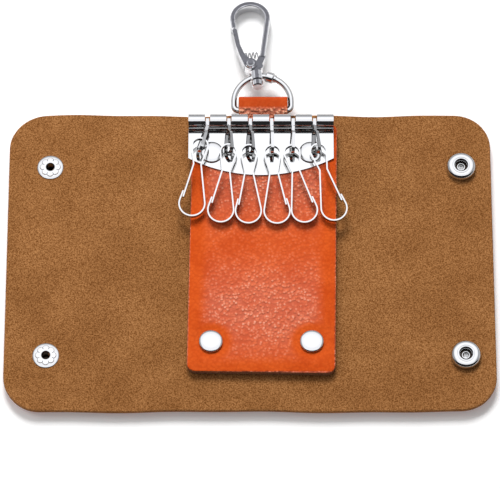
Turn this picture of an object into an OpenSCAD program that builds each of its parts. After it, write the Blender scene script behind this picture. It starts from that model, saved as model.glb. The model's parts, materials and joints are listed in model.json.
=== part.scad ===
// Tri-fold leather key case, lying open: a suede-lined shell, an orange tab that carries
// a six-hook key bar, and a D-ring with a swivel snap hook at the top.
// Millimetres, +Z up, X along the shell's width, Y towards the snap hook. The origin is on
// the table, under the middle of the opened object.

/* [Leather shell] */
// Height of the shell, from its lower to its upper edge
shell_h = 110; // [104:1:118]
// Thickness of the shell leather
shell_t = 1.6; // [1.2:0.1:2]
// Radius of the shell's four outer corners
shell_corner_r = 12.5; // [6:0.5:14]
// Width of the centre panel, between its two folds
centre_w = 59; // [57:0.2:61]
// Depth of the closed case, between its leather walls
case_depth = 11.8; // [11.2:0.2:14]
// Inner radius that the leather keeps in a fold
fold_r = 1.2; // [1:0.1:1.5]
// Distance of the left snaps from the left flap's fold
snap_left_reach = 33.7; // [32.5:0.1:34.5]
// Distance of the left snaps from the left flap's free edge
snap_left_edge = 14.2; // [11:0.2:17]
// Distance of the right snaps from the right flap's free edge
snap_right_edge = 10.3; // [8.5:0.1:14]
// Distance between the upper and the lower snap of a flap
snap_spacing = 70; // [60:1:78]

/* [Key tab] */
// Width of the orange tab and of the key bar on it
tab_w = 50; // [49:0.5:52]
// Thickness of one layer of the tab leather
tab_layer_t = 1.5; // [1.2:0.1:1.8]
// Distance from the shell's lower edge to the tab's lower edge
tab_bottom_gap = 13; // [8:0.5:18]
// Distance from the shell's upper edge to the tab's shoulders
tab_top_gap = 3.9; // [3.5:0.1:6]
// Distance that the tab's middle lies to the right of the key bar's middle
tab_shift = 0.6; // [0:0.1:1]
// Turn of the tab on the shell, in degrees
tab_skew = 0.9; // [0:0.1:1.2]
// Radius of the tab's corners
tab_corner_r = 3; // [1:0.5:5]
// Distance that the folded neck reaches past its ring bar
neck_slack = 2.35; // [1:0.05:3]

/* [Key bar] */
// Outer diameter of the rolled tube along the bar's top
tube_d = 5.1; // [4.9:0.1:5.4]
// Thickness of the bar's sheet metal
sheet_t = 0.5; // [0.4:0.05:0.55]
// Distance from the tube's axis to the plate's lowest edge, at its middle
plate_drop = 19.5; // [17:0.1:23]
// Rise of the curved lower edge, from its middle to its ends
plate_arc_rise = 6.4; // [4:0.2:8]
// Distance from the tab's shoulders down to the tube's axis
tube_inset = 1; // [0.6:0.1:2]
// Diameter of the rod inside the tube
rod_d = 1.5; // [1.3:0.05:1.6]
// Width of each slot in the tube
slot_w = 1.8; // [1.7:0.05:2]
// Distance between neighbouring slots
slot_pitch = 7.37; // [7.2:0.01:7.6]
// Distance between the two rivets of a row, as a share of the tab's width
rivet_spacing_share = 0.68; // [0.62:0.005:0.72]
// Diameter of the rivet caps
rivet_d = 8; // [7:0.1:8.4]
// Height of the domed rivet caps on the tab side
rivet_cap_h = 0.9; // [0.8:0.05:1.1]
// Distance from the tube's axis to the upper row of rivets
rivet_drop = 11; // [10.5:0.1:12]
// Distance from the tab's lower edge to the lower row of rivets
rivet_foot = 11; // [8:0.5:14]

/* [Links and key hooks] */
// Width of the strip that the links are bent from
link_w = 1.1; // [1:0.05:1.3]
// Thickness of the strip that the links are bent from
link_t = 0.5; // [0.4:0.05:0.6]
// Distance from the rod's axis to the middle of the link's wide end
link_reach = 10; // [9.5:0.1:10.5]
// Outer radius of the link's wide end
link_ring_r = 2.4; // [2.35:0.05:2.55]
// Thickness of the spring strip of the key hooks
hook_t = 0.5; // [0.4:0.05:0.55]
// Depth of the spring strip of the key hooks
hook_depth = 2; // [1.6:0.1:2.1]
// Outer diameter of the hook's round head
hook_head_d = 6; // [5.6:0.1:6.2]
// Outer width of the hook's key loop
hook_loop_d = 9.3; // [8.4:0.1:9.4]
// Distance from the head's upper strip to the pinched neck
hook_neck = 9.6; // [9:0.1:10.5]
// Distance from the head's upper strip to the far end of the loop
hook_reach = 28.6; // [27:0.2:31]

/* [D-ring and snap hook] */
// Outer width of the D-ring
ring_w = 22; // [20.5:0.1:23]
// Diameter of the ring's wire
ring_wire_d = 2.1; // [1.9:0.05:2.2]
// Distance from the ring's bar to the top of its arc, axis to axis
ring_reach = 13.15; // [12.8:0.05:15]
// Diameter of the swivel barrel on the ring
barrel_d = 4.8; // [4.6:0.05:5]
// Lean of the snap hook to the left, in degrees
snap_lean = 5.1; // [3:0.1:7]
// Depth of the snap hook's body
snap_depth = 4.4; // [4:0.1:4.4]
// Outer width of the snap hook's bow
snap_w = 14.35; // [13.5:0.05:15]
// Width of the bow's bar
snap_bar = 2.1; // [1.8:0.05:2.3]
// Distance from the swivel's cross hole to the top of the bow
snap_reach = 30.9; // [30:0.1:33]
// Diameter of the coiled gate spring
spring_d = 2.5; // [2.3:0.05:2.6]
// Diameter of the spring's wire
spring_wire_d = 0.45; // [0.35:0.05:0.5]

/* [Snaps] */
// Diameter of the eyelet flanges on the left flap
eyelet_d = 9; // [8:0.1:10]
// Diameter of the sockets on the right flap
socket_d = 10.2; // [9.5:0.1:11]
// Height of the sockets above the leather
socket_h = 2.5; // [2.3:0.1:2.8]
// Diameter of the stud heads that click into the sockets
stud_d = 4; // [3.8:0.05:4.1]
// Height of the studs and of all the caps under the leather
foot_h = 2; // [1.8:0.1:2.2]
// Diameter of the domed caps under the right flap
cap_d = 12.4; // [11:0.1:13]

/* [Hidden] */
$fn = 64;
// Overrun of every cut
cut = 1;
// Gap of parts that turn or slide on each other
run_gap = 0.05;
// Gap left where a loose piece lies on its neighbour
rest_gap = 0.1;
// Depth that a snap's stud reaches into its socket
snap_depth_in = 1.4;

HOOKS = 6;

// Heights above the table
shell_z = foot_h;
shell_top = shell_z + shell_t;
tab_t = 2 * tab_layer_t;
tab_top = shell_top + tab_t;
plate_top = tab_top + sheet_t;

// Widths and folds of the shell
snap_stack = foot_h + socket_h - snap_depth_in;
spine_left_w = case_depth - 2 * fold_r;
spine_right_w = spine_left_w + shell_t + snap_stack;
snap_right_reach = centre_w - snap_left_reach;
left_flap_w = snap_left_reach + snap_left_edge;
right_flap_w = snap_right_reach + snap_right_edge;
shell_w = left_flap_w + spine_left_w + centre_w + spine_right_w + right_flap_w;
left_edge = -shell_w / 2;
left_fold_out = left_edge + left_flap_w;
left_fold_in = left_fold_out + spine_left_w;
right_fold_in = left_fold_in + centre_w;
right_fold_out = right_fold_in + spine_right_w;
snap_left_x = left_fold_out - snap_left_reach;
snap_right_x = right_fold_out + snap_right_reach;

// Tab, neck and key bar
tab_x = left_fold_in + centre_w / 2;
tab_bottom = -shell_h / 2 + tab_bottom_gap;
tab_shoulder = shell_h / 2 - tab_top_gap;
tube_y = tab_shoulder - tube_inset;
tube_z = tab_top + tube_d / 2;
tube_bore_r = tube_d / 2 - sheet_t;
rivet_high_y = tube_y - rivet_drop;
rivet_low_y = tab_bottom + rivet_foot;
rivet_r = rivet_d / 2;
rivet_post_r = 0.16 * rivet_d;
plate_corner_r = 1.2;
plug_l = 1.5;
rivet_spacing = rivet_spacing_share * tab_w;
layer_groove = 0.25;
seam_h = 0.12;

// The rod lies off the tube's axis, so that the links' eyes just clear the bore's wall
rod_r = rod_d / 2;
link_stem = 1.4 * link_t;
link_bore_r = rod_r + 2 * run_gap;
link_eye_r = link_bore_r + link_t;
rod_play = tube_bore_r - link_eye_r - run_gap;
rod_lean = 30;
rod_y = tube_y - rod_play * cos(rod_lean);
rod_z = tube_z - rod_play * sin(rod_lean);
slot_y = rod_y - link_stem / 2 - 3 * rest_gap;
slot_x = [for (i = [0:HOOKS - 1]) tab_x + (i - (HOOKS - 1) / 2) * slot_pitch];

// Links: each rises from the rod through its slot, over the tube's wall, and falls to the
// plate; how each one is bent sideways and rolled there, in degrees
link_yaw = [-18, 0, 0, 0, -2.5, 4];
link_roll = [18, 32, 30, 8, 12, 29];
link_ring_z = plate_top + rivet_cap_h + rest_gap + link_ring_r;
link_crest = [rest_gap, tube_z + tube_d / 2 + link_stem / 2 + rest_gap - rod_z];
link_fall = atan2(rod_z + link_crest.y - link_ring_z, link_reach - link_crest.x);
link_straight = 2.2;
link_far = (link_reach - link_crest.x) / cos(link_fall) - link_straight;
link_top_r = 0.7 * link_ring_r;
link_top_back = 4.35;

// Where the middle of a link's wide end lies
function link_end(i) = let (a = link_yaw[i], run = link_straight + link_far * cos(a))
    [slot_x[i] + link_far * sin(a), rod_y - link_crest.x - run * cos(link_fall),
        rod_z + link_crest.y - run * sin(link_fall)];

// Key hooks: sideways splay in degrees, where round its head the link holds each, how far
// each is pushed up its link, and the side of its sprung leg
hook_splay = [-7.2, -7, -0.8, 4.2, 11.4, 14.2];
hook_grip = [20, 3, 8, -4, 3, -16];
hook_slide_share = [1.1, 0.35, 0.25, 0.2, 0.2, 0.35];
hook_side = [-1, -1, -1, 1, 1, 1];
hook_sag = 0.05;
hook_drop = asin((link_ring_z - hook_sag - tab_top - rest_gap - hook_depth / 2) / hook_reach);
hook_head_r = hook_head_d / 2;
hook_loop_r = hook_loop_d / 2;
hook_head_y = hook_head_r - hook_t / 2;
hook_loop_y = hook_reach - hook_loop_r;
hook_pinch = 1;
hook_play = 0.2;
hook_lap = 2;
hook_gate_y = hook_reach - hook_loop_d + 0.2 * hook_lap;

// The hinge of each key hook in its link
function hook_pin(i) = let (e = link_end(i), s = hook_slide_share[i] * link_ring_r)
    [e.x - s * sin(link_yaw[i]), e.y + s * cos(link_yaw[i]) * cos(link_fall),
        link_ring_z - hook_sag + s * cos(link_yaw[i]) * sin(link_fall)];

// D-ring, held level by the neck's fold
ring_wire_r = ring_wire_d / 2;
ring_r = ring_w / 2 - ring_wire_r;
ring_leg = ring_reach - ring_r;
ring_corner_r = 1.7;
neck_gap = 0.15;
neck_w = 2 * (ring_r - ring_wire_r - neck_gap) - ring_wire_r / 2;
neck_x = tab_x + 0.75;
neck_foot = tube_y + 0.3 * tube_d;
ring_x = tab_x + 0.5;
neck_bore_r = ring_wire_r + 3 * run_gap;
neck_r = neck_bore_r + tab_layer_t - run_gap;
ring_bar_y = shell_h / 2 + 0.7;
ring_bar_z = shell_top + sqrt(pow(neck_r, 2) - pow(ring_bar_y - shell_h / 2, 2)) + rest_gap / 2;
barrel_r = barrel_d / 2;
swivel_turn = -11.4;
swivel_x = ring_x + ring_r * sin(swivel_turn);
swivel_y = ring_bar_y + ring_leg + ring_r * cos(swivel_turn);
sleeve_r = 1.9;
sleeve_l = 2.9;
sleeve_turn = 17.5;
collar_r = 1.35;
collar_l = 0.7;

// Swivel barrel and its stud
barrel_hole_r = ring_wire_r + 0.55;
barrel_hole_y = -0.2;
barrel_tail_r = 0.83 * barrel_r;
barrel_step = 2.15;
barrel_back = 4.3;
barrel_front = barrel_hole_r + barrel_hole_y + 0.5;
stud_neck_r = 0.75;
stud_head_r = 1.1;
stud_neck_l = 0.45;
stud_head_l = 0.5;
edge_r = 0.35;

// Snap hook, in its own frame: origin in the cross hole, Y along the hook. It slopes down
// from the ring until its tip rests on the table
snap_span = norm([snap_reach, snap_depth / 2]);
snap_dip = asin((ring_bar_z - rest_gap / 2) / snap_span) - atan(snap_depth / 2 / snap_reach);
bow_r = snap_w / 2;
bow_mid_r = bow_r - snap_bar / 2;
bow_c = [-0.2, snap_reach - bow_r];
nose_turn = 182;
nose_end = 20;
arm_foot = [2.65, 7.2];
arm_foot_r = 1.05;
pivot = [-1.7, 4.35];
pivot_r = 1.1;
boss_r = 2.25;
base_y = barrel_front + 2 * run_gap;
base_l = 2.6;
base_step = 0.35;
gate_tip = [-6, 18.75];
gate_tip_r = 0.78;
gate_mid = [-5.38, 12.4];
gate_mid_r = 0.72;
gate_knee = [-4.45, 8.8];
gate_knee_r = 0.85;
gate_root = [-2.95, 5.4];
gate_root_r = 1.35;
gate_gap = 0.1;
cheek_t = 0.75;
web_t = snap_depth - 2 * cheek_t;
gate_open = 25;
spring_y = 9;
spring_turns = 3.5;
spring_x0 = -3.25;
spring_x1 = 1.5;
spring_r = spring_d / 2;
rivet_head_r = 1.9;
rivet_head_h = 0.35;
rivet_dish_r = 1.5;

// Snaps
snap_hole_r = 1.35;
snap_wall = 0.35;
flange_h = 0.6;
petals = 8;
stud_r = stud_d / 2;
stud_flange_t = 0.4;
stud_neck = 0.85;
socket_bore_r = stud_r + 0.3;
socket_floor = 0.5;
cap_post_r = 1.1;

// Middle of the opened object along Y, where the frame's origin lies
tip_y = swivel_y + bow_c.y * cos(snap_lean) * cos(snap_dip) + bow_r;
mid_y = (tip_y - shell_h / 2) / 2;

suede = "peru";
orange = "orangered";
bright = "gainsboro";

module from_origin() { translate([0, -mid_y, 0]) children(); }

module snap_frame() {
    translate([swivel_x, swivel_y, ring_bar_z]) rotate([0, 0, snap_lean])
        rotate([-snap_dip, 0, 0]) children();
}

module rounded_plate(w, h, r) {
    square([w - 2 * r, h], center = true);
    square([w, h - 2 * r], center = true);
    for (x = [-1, 1], y = [-1, 1]) translate([x * (w / 2 - r), y * (h / 2 - r)]) circle(r);
}

// Two circles with their common outer tangents, as a stretched belt would lie
module belt(a, ra, b, rb) {
    way = atan2(b.y - a.y, b.x - a.x);
    open = acos((ra - rb) / norm(b - a));
    translate(a) circle(ra);
    translate(b) circle(rb);
    polygon([
        for (s = [1, -1]) a + ra * [cos(way + s * open), sin(way + s * open)],
        for (s = [-1, 1]) b + rb * [cos(way + s * open), sin(way + s * open)]
    ]);
}

module bar(a, b, w) { belt(a, w / 2, b, w / 2); }

// Spherical cap of radius r and height h, standing on z = 0
module dome(r, h) {
    ball_r = (r * r + h * h) / (2 * h);
    rotate_extrude() intersection() {
        translate([0, h - ball_r]) circle(ball_r, $fn = max(96, 4 * ceil(3 * ball_r)));
        square([r, h]);
    }
}

module snap_pair(x, z) {
    for (y = [-1, 1]) translate([x, y * snap_spacing / 2, z]) children();
}

module rivet_pair(y, z) {
    for (s = [-1, 1]) translate([tab_x + s * rivet_spacing / 2, y, z]) children();
}

// Shell: one hide, cut here at its folds
module panel(x0, x1) {
    color(suede) from_origin() difference() {
        translate([0, 0, shell_z]) linear_extrude(shell_t) intersection() {
            rounded_plate(shell_w, shell_h, shell_corner_r);
            translate([x0, -shell_h / 2]) square([x1 - x0, shell_h]);
        }
        for (y = [rivet_high_y, rivet_low_y]) rivet_pair(y, shell_z - cut)
            cylinder(r = rivet_post_r + run_gap, h = shell_t + 2 * cut);
        snap_pair(snap_left_x, shell_z - cut)
            cylinder(r = snap_hole_r + snap_wall + run_gap, h = shell_t + 2 * cut);
        snap_pair(snap_right_x, shell_z - cut)
            cylinder(r = cap_post_r + run_gap, h = shell_t + 2 * cut);
    }
}
module centre_panel() { panel(left_fold_in, right_fold_in); }
module left_spine() { panel(left_fold_out, left_fold_in); }
module left_flap() { panel(left_edge, left_fold_out); }
module right_spine() { panel(right_fold_in, right_fold_out); }
module right_flap() { panel(right_fold_out, -left_edge); }

// Tab: one strip folded over at the top, so that its neck holds the ring
module neck_profile() {
    reach = ring_bar_y + neck_slack;
    difference() {
        union() {
            translate([tab_shoulder - cut, shell_top])
                square([ring_bar_y - tab_shoulder + cut, tab_t]);
            belt([ring_bar_y, ring_bar_z], neck_r, [neck_foot, tab_top - rest_gap], rest_gap);
            belt([ring_bar_y, ring_bar_z], neck_r, [reach, ring_bar_z], neck_r);
        }
        belt([ring_bar_y, ring_bar_z], neck_bore_r, [reach, ring_bar_z], neck_bore_r);
    }
}

module tab_place(z, t) {
    translate([tab_x + tab_shift, (tab_shoulder + tab_bottom) / 2, z])
        rotate([0, 0, -tab_skew]) linear_extrude(t) children();
}

module key_tab() {
    tab_h = tab_shoulder - tab_bottom;
    color(orange) from_origin() difference() {
        union() {
            tab_place(shell_top, tab_t) rounded_plate(tab_w, tab_h, tab_corner_r);
            translate([neck_x - neck_w / 2, 0, 0]) rotate([90, 0, 90])
                linear_extrude(neck_w) neck_profile();
        }
        // the seam between the two layers
        tab_place(shell_top + tab_layer_t - seam_h / 2, seam_h) difference() {
            rounded_plate(tab_w + cut, tab_h - cut, tab_corner_r);
            rounded_plate(tab_w - 2 * layer_groove, tab_h - 2 * layer_groove - cut,
                tab_corner_r);
        }
        for (y = [rivet_high_y, rivet_low_y]) rivet_pair(y, shell_top - cut)
            cylinder(r = rivet_post_r + run_gap, h = tab_t + 2 * cut);
    }
}

// Key bar: a plate with a curved lower edge, its top rolled into a slotted tube
module plate_outline() {
    half = tab_w / 2;
    arc_r = (half * half + plate_arc_rise * plate_arc_rise) / (2 * plate_arc_rise);
    low = tube_y - plate_drop;
    intersection() {
        translate([tab_x, low + tab_w / 2]) rounded_plate(tab_w, tab_w, plate_corner_r);
        translate([tab_x - half, low]) square([tab_w, plate_drop]);
        translate([tab_x, low + arc_r]) circle(arc_r, $fn = 128);
    }
}

module key_bar() {
    color(bright) from_origin() difference() {
        union() {
            translate([0, 0, tab_top]) linear_extrude(sheet_t) plate_outline();
            translate([tab_x - tab_w / 2, tube_y, tube_z]) rotate([0, 90, 0])
                cylinder(d = tube_d, h = tab_w);
        }
        translate([tab_x - tab_w / 2 - cut, tube_y, tube_z]) rotate([0, 90, 0])
            cylinder(r = tube_bore_r, h = tab_w + 2 * cut);
        for (x = slot_x)
            translate([x - slot_w / 2, slot_y, tab_top - cut])
                cube([slot_w, tube_d + cut, tube_d + 2 * cut]);
        rivet_pair(rivet_high_y, tab_top - cut)
            cylinder(r = rivet_post_r + run_gap, h = sheet_t + 2 * cut);
    }
}

module bar_rod() {
    color(bright) from_origin() {
        translate([tab_x - tab_w / 2, rod_y, rod_z]) rotate([0, 90, 0])
            cylinder(r = rod_r, h = tab_w);
        // a plug at each end centres the rod in the tube
        for (s = [0, 1]) translate([tab_x, tube_y, tube_z]) mirror([s, 0, 0])
            translate([tab_w / 2 - plug_l, 0, 0]) rotate([0, 90, 0])
                cylinder(r = tube_bore_r - run_gap, h = plug_l);
    }
}

// Rivets: a domed cap on a post, and a second cap pressed on from below
module rivet(z, reach) {
    translate([0, 0, z]) dome(rivet_r, rivet_cap_h);
    translate([0, 0, z - reach]) cylinder(r = rivet_post_r, h = reach + rivet_cap_h / 2);
}

module rivet_back() {
    translate([0, 0, shell_z]) mirror([0, 0, 1]) difference() {
        dome(rivet_r, foot_h);
        translate([0, 0, -cut]) cylinder(r = rivet_post_r + run_gap, h = foot_h / 2 + cut);
    }
}

module bar_rivets() {
    color(bright) from_origin() rivet_pair(rivet_high_y, 0)
        rivet(plate_top, plate_top - shell_z + foot_h / 2);
}
module bar_rivet_backs() { color(bright) from_origin() rivet_pair(rivet_high_y, 0) rivet_back(); }
module tab_rivets() {
    color(bright) from_origin() rivet_pair(rivet_low_y, 0)
        rivet(tab_top, tab_top - shell_z + foot_h / 2);
}
module tab_rivet_backs() { color(bright) from_origin() rivet_pair(rivet_low_y, 0) rivet_back(); }

// Link: a strip bent into a small eye round the rod, cranked over the tube's wall, and
// opened into a pear ring
module link(i) {
    bend = link_crest + link_straight * [cos(link_fall), -sin(link_fall)];
    top = [link_far - link_top_back, 0];
    color(bright) from_origin() translate([slot_x[i], rod_y, rod_z]) rotate([0, 0, -90]) {
        rotate([90, 0, 0]) linear_extrude(link_w, center = true) difference() {
            union() {
                circle(link_eye_r);
                bar([0, 0], link_crest, link_stem);
                bar(link_crest, bend, link_stem);
            }
            circle(link_bore_r);
        }
        translate([bend.x, 0, bend.y]) rotate([0, link_fall, 0])
            rotate([0, 0, link_yaw[i]]) rotate([-link_roll[i], 0, 0])
                rotate([90, 0, 0]) linear_extrude(link_w - run_gap, center = true) difference() {
                    union() {
                        belt([link_far, 0], link_ring_r, top, link_top_r);
                        bar([0, 0], top, link_stem - run_gap);
                    }
                    belt([link_far, 0], link_ring_r - link_t, top, link_top_r - link_t);
                }
    }
}
module link_1() { link(0); }
module link_2() { link(1); }
module link_3() { link(2); }
module link_4() { link(3); }
module link_5() { link(4); }
module link_6() { link(5); }

// Key hook: spring strip on edge, bent into a head, a pinched neck and a key loop, with
// one sprung leg that laps inside the loop's end
module hook_outline(side) {
    head = [0, -hook_head_y];
    neck = [0, -hook_neck];
    loop = [0, -hook_loop_y];
    neck_r = hook_t + hook_pinch;
    leg_r = hook_pinch + hook_t / 2;
    open = asin((hook_loop_r - neck_r) / (hook_loop_y - hook_neck));
    lap_x = leg_r + (hook_gate_y + hook_lap - hook_neck) * tan(open) - hook_t - hook_play;
    difference() {
        union() {
            belt(head, hook_head_r, neck, neck_r);
            belt(loop, hook_loop_r, neck, neck_r);
        }
        belt(head, hook_head_r - hook_t, neck, hook_pinch);
        belt(loop, hook_loop_r - hook_t, neck, hook_pinch);
        scale([side, 1]) translate([0, -hook_gate_y])
            square([hook_loop_r, hook_gate_y - hook_neck]);
    }
    scale([side, 1]) bar([leg_r, -hook_neck], [lap_x, -hook_gate_y - hook_lap], hook_t);
}

module key_hook(i) {
    color(bright) from_origin() translate(hook_pin(i)) rotate([hook_drop, 0, 0])
        rotate([0, 0, -hook_grip[i]]) translate([0, -hook_head_y, 0])
            rotate([0, 0, hook_grip[i] + hook_splay[i]]) translate([0, hook_head_y, 0])
                linear_extrude(hook_depth, center = true) hook_outline(hook_side[i]);
}
module key_hook_1() { key_hook(0); }
module key_hook_2() { key_hook(1); }
module key_hook_3() { key_hook(2); }
module key_hook_4() { key_hook(3); }
module key_hook_5() { key_hook(4); }
module key_hook_6() { key_hook(5); }

// D-ring: round wire, a straight bar in the leather and a half-round arc
module ring_frame() {
    translate([ring_x, ring_bar_y, ring_bar_z]) children();
}

module d_ring() {
    bend = ring_r - ring_corner_r;
    color(bright) from_origin() ring_frame() {
        translate([-bend, 0, 0]) rotate([0, 90, 0]) cylinder(r = ring_wire_r, h = 2 * bend);
        for (s = [0, 1]) mirror([s, 0, 0]) {
            translate([bend, ring_corner_r, 0]) rotate([0, 0, -90])
                rotate_extrude(angle = 90) translate([ring_corner_r, 0]) circle(ring_wire_r);
            translate([ring_r, ring_corner_r, 0]) rotate([-90, 0, 0])
                cylinder(r = ring_wire_r, h = ring_leg - ring_corner_r);
        }
        translate([0, ring_leg, 0]) rotate_extrude(angle = 180)
            translate([ring_r, 0]) circle(ring_wire_r);
    }
}

// Sleeve crimped over the joint of the ring's wire, with a narrower collar
module ring_sleeve() {
    color(bright) from_origin() ring_frame() translate([0, ring_leg, 0])
        rotate([0, 0, -sleeve_turn])
            translate([-(sleeve_l + collar_l) / 2, ring_r - 2 * run_gap, 0]) rotate([0, 90, 0])
            difference() {
                union() {
                    cylinder(r1 = sleeve_r - edge_r, r2 = sleeve_r, h = edge_r);
                    translate([0, 0, edge_r]) cylinder(r = sleeve_r, h = sleeve_l - 2 * edge_r);
                    translate([0, 0, sleeve_l - edge_r])
                        cylinder(r1 = sleeve_r, r2 = sleeve_r - edge_r, h = edge_r);
                    cylinder(r = collar_r, h = sleeve_l + collar_l);
                }
                translate([0, 0, -cut])
                    cylinder(r = ring_wire_r + 3 * run_gap, h = sleeve_l + collar_l + 2 * cut);
            }
}

// Swivel barrel: a cross-drilled drum on the ring's wire, with a narrower tail behind and a
// headed stud in front that the hook turns on
module swivel_barrel() {
    color(bright) from_origin() snap_frame() difference() {
        rotate([-90, 0, 0]) {
            translate([0, 0, -barrel_back + edge_r])
                cylinder(r = barrel_tail_r, h = barrel_back);
            translate([0, 0, -barrel_back])
                cylinder(r1 = barrel_tail_r - edge_r, r2 = barrel_tail_r, h = edge_r);
            translate([0, 0, -barrel_step])
                cylinder(r1 = barrel_r - edge_r, r2 = barrel_r, h = edge_r);
            translate([0, 0, edge_r - barrel_step])
                cylinder(r = barrel_r, h = barrel_step + barrel_front - 2 * edge_r);
            translate([0, 0, barrel_front - edge_r])
                cylinder(r1 = barrel_r, r2 = barrel_r - edge_r, h = edge_r);
            cylinder(r = stud_neck_r, h = barrel_front + stud_neck_l + stud_head_l);
            translate([0, 0, barrel_front + stud_neck_l])
                cylinder(r = stud_head_r, h = stud_head_l);
        }
        translate([0, barrel_hole_y, 0]) rotate([0, 90, 0])
            cylinder(r = barrel_hole_r, h = barrel_d + 2 * cut, center = true);
    }
}

// Rounded section of the bow's bar, drawn in by an inset on all sides
module bar_section(inset) {
    rounded_plate(snap_bar - 2 * inset, snap_depth - 2 * inset, snap_bar / 3);
}

module snap_body() {
    arm_way = bow_c - arm_foot;
    arm_turn = atan2(arm_way.x, arm_way.y) + asin(bow_mid_r / norm(arm_way));
    arm_l = sqrt(pow(norm(arm_way), 2) - pow(bow_mid_r, 2));
    nose = bow_c + bow_mid_r * [cos(nose_turn), sin(nose_turn)];
    color(bright) from_origin() snap_frame() difference() {
        union() {
            translate(bow_c) rotate([0, 0, -arm_turn]) rotate_extrude(angle = nose_turn + arm_turn)
                translate([bow_mid_r, 0]) bar_section(0);
            translate(arm_foot) rotate([0, 0, -arm_turn]) rotate([-90, 0, 0])
                linear_extrude(arm_l + edge_r) bar_section(run_gap);
            translate(nose) rotate([0, 0, nose_turn - 180]) rotate([90, 0, 0])
                translate([0, 0, -edge_r])
                    linear_extrude(nose.y - nose_end + edge_r) bar_section(run_gap);
            // the cast base below the throat, a step thinner than the bow
            linear_extrude(snap_depth - 2 * base_step, center = true) difference() {
                union() {
                    belt([0.6, base_y + base_l / 2], base_l / 2, arm_foot, arm_foot_r);
                    translate([0, base_y]) square([stud_head_r + 2 * edge_r, base_l / 2]);
                    bar([-0.2, base_y + base_l / 2], [1.2, base_y + base_l / 2], base_l);
                }
                translate(pivot) circle(boss_r + gate_gap);
            }
            linear_extrude(web_t - 2 * gate_gap, center = true)
                belt(pivot, boss_r, [0.6, base_y + base_l / 2], base_l / 2);
        }
        translate(pivot) cylinder(r = pivot_r + run_gap, h = snap_depth + cut, center = true);
        // seat of the swivel's stud
        rotate([-90, 0, 0]) {
            cylinder(r = stud_neck_r + run_gap, h = barrel_front + stud_neck_l + run_gap);
            translate([0, 0, barrel_front + stud_neck_l - run_gap])
                cylinder(r = stud_head_r + run_gap, h = stud_head_l + 2 * run_gap);
        }
    }
}

// Gate: a lever whose two cheeks straddle the body's web on the rivet
module snap_gate() {
    color(bright) from_origin() snap_frame() difference() {
        linear_extrude(snap_depth, center = true) union() {
            belt(gate_tip, gate_tip_r, gate_mid, gate_mid_r);
            belt(gate_mid, gate_mid_r, gate_knee, gate_knee_r);
            belt(gate_knee, gate_knee_r, gate_root, gate_root_r);
            belt(gate_root, gate_root_r, pivot, boss_r);
        }
        linear_extrude(web_t, center = true) translate(pivot) circle(boss_r + gate_gap);
        translate(pivot) cylinder(r = pivot_r + run_gap, h = snap_depth + cut, center = true);
        // seat of the spring's end
        translate([spring_x0 - run_gap, spring_y, 0]) rotate([0, 90, 0])
            cylinder(r = spring_r + run_gap, h = spring_x1 - spring_x0);
    }
}

// Rivet with a dished head on each side
module gate_rivet() {
    h = snap_depth / 2;
    dish_ball = (pow(rivet_dish_r, 2) + pow(rivet_head_h, 2)) / 2 / rivet_head_h;
    color(bright) from_origin() snap_frame() translate(pivot) difference() {
        union() {
            cylinder(r = pivot_r, h = snap_depth, center = true);
            for (s = [0, 1]) mirror([0, 0, s]) translate([0, 0, h])
                cylinder(r1 = rivet_head_r, r2 = rivet_head_r - edge_r / 2, h = rivet_head_h);
        }
        for (s = [0, 1]) mirror([0, 0, s])
            translate([0, 0, h + run_gap + dish_ball]) sphere(dish_ball, $fn = 96);
    }
}

// Coiled gate spring: one tube along a helix, from the gate to the fixed arm
module gate_spring() {
    wire_r = spring_wire_d / 2;
    coil_r = spring_r - wire_r;
    steps = ceil(spring_turns * 8);
    sides = 6;
    pitch_rise = (spring_x1 - spring_x0 - spring_wire_d) / 360 / spring_turns;
    lead = atan(pitch_rise * 180 / PI / coil_r);
    least_gap = pitch_rise * 360 * cos(lead) - spring_wire_d;
    echo(spring_gap = least_gap);
    points = [
        for (k = [0:steps], j = [0:sides - 1])
            let (t = spring_turns * 360 * k / steps, a = 360 * j / sides)
            let (out = coil_r + wire_r * cos(a), over = wire_r * sin(a))
            [spring_x0 + wire_r + pitch_rise * t + over * cos(lead),
                out * cos(t) + over * sin(lead) * sin(t),
                out * sin(t) - over * sin(lead) * cos(t)]
    ];
    last = steps * sides;
    faces = [
        [for (j = [0:sides - 1]) j],
        [for (j = [sides - 1:-1:0]) last + j],
        for (k = [0:steps - 1], j = [0:sides - 1])
            let (a = k * sides + j, b = k * sides + (j + 1) % sides)
            [a, a + sides, b + sides, b]
    ];
    color("silver") from_origin() snap_frame() translate([0, spring_y, 0])
        polyhedron(points, faces);
}

// Snap parts
module left_eyelets() {
    color(bright) from_origin() snap_pair(snap_left_x, shell_top) difference() {
        union() {
            dome(eyelet_d / 2, flange_h);
            translate([0, 0, -shell_t - stud_flange_t])
                cylinder(r = snap_hole_r + snap_wall, h = shell_t + stud_flange_t + flange_h / 2);
        }
        translate([0, 0, -shell_t - foot_h])
            cylinder(r = snap_hole_r, h = shell_t + foot_h + cut);
        for (a = [0:petals - 1]) rotate([0, 0, a * 360 / petals])
            translate([eyelet_d / 4, 0, flange_h]) rotate([0, 90, 0])
                cylinder(r = flange_h / 2, h = eyelet_d);
    }
}

module left_studs() {
    bore = snap_hole_r + snap_wall + run_gap;
    color(bright) from_origin() snap_pair(snap_left_x, shell_z) mirror([0, 0, 1]) difference() {
        union() {
            cylinder(d = eyelet_d, h = stud_flange_t);
            cylinder(r = stud_r - edge_r / 2, h = foot_h - edge_r);
            translate([0, 0, foot_h / 2]) cylinder(r = stud_r, h = foot_h / 2 - edge_r);
            translate([0, 0, foot_h - edge_r])
                cylinder(r1 = stud_r, r2 = stud_r - edge_r, h = edge_r);
        }
        translate([0, 0, -cut]) cylinder(r = bore, h = cut + foot_h - edge_r);
    }
}

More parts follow.
